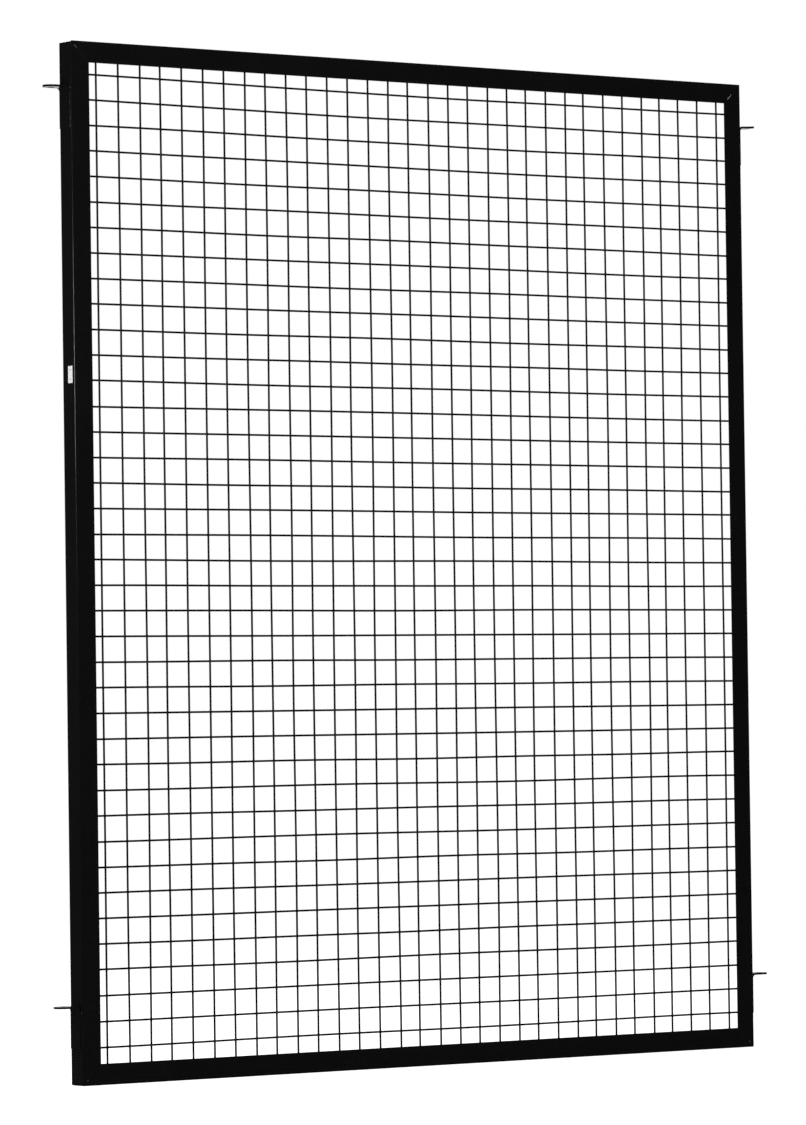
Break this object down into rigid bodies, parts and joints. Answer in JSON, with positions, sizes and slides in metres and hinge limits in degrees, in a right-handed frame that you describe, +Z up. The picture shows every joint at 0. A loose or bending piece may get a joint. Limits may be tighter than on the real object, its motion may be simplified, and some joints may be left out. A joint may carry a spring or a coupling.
{
  "type": "wire mesh partition panel",
  "caption": "Fixed wire mesh partition panel: square welded mesh behind a mitred steel angle frame, with bent side tabs drilled for bolting it between posts.",
  "frame": {"origin": "midway between the bolt holes of the two upper tabs, on the undersides of those tabs, which is also the middle of the frame's depth", "axes": "+X to the right as seen from the front, +Y to the back (the front flanges face -Y), +Z up"},
  "size_m": [1.3522, 0.0321, 1.552],
  "materials": {
    "frame_angle": "satin black powder coat on hot-rolled steel angle",
    "mesh_wire": "satin black powder coat on welded steel wire",
    "tab_bar": "satin black powder coat on bent steel flat bar",
    "weld_bead": "black powder coat over weld beads, a little glossier than the flats",
    "label_film": "plain white self-adhesive film"
  },
  "bodies": {
    "root": {"left_stile": "frame_angle", "right_stile": "frame_angle", "top_rail": "frame_angle", "bottom_rail": "frame_angle", "vertical_wires": "mesh_wire", "horizontal_wires": "mesh_wire", "upper_left_tab": "tab_bar", "upper_right_tab": "tab_bar", "lower_left_tab": "tab_bar", "lower_right_tab": "tab_bar", "upper_left_corner_weld": "weld_bead", "upper_right_corner_weld": "weld_bead", "lower_left_corner_weld": "weld_bead", "lower_right_corner_weld": "weld_bead", "upper_left_tab_weld": "weld_bead", "upper_right_tab_weld": "weld_bead", "lower_left_tab_weld": "weld_bead", "lower_right_tab_weld": "weld_bead", "top_wire_tacks": "weld_bead", "bottom_wire_tacks": "weld_bead", "left_wire_tacks": "weld_bead", "right_wire_tacks": "weld_bead", "stile_label": "label_film"}
  },
  "joints": []
}
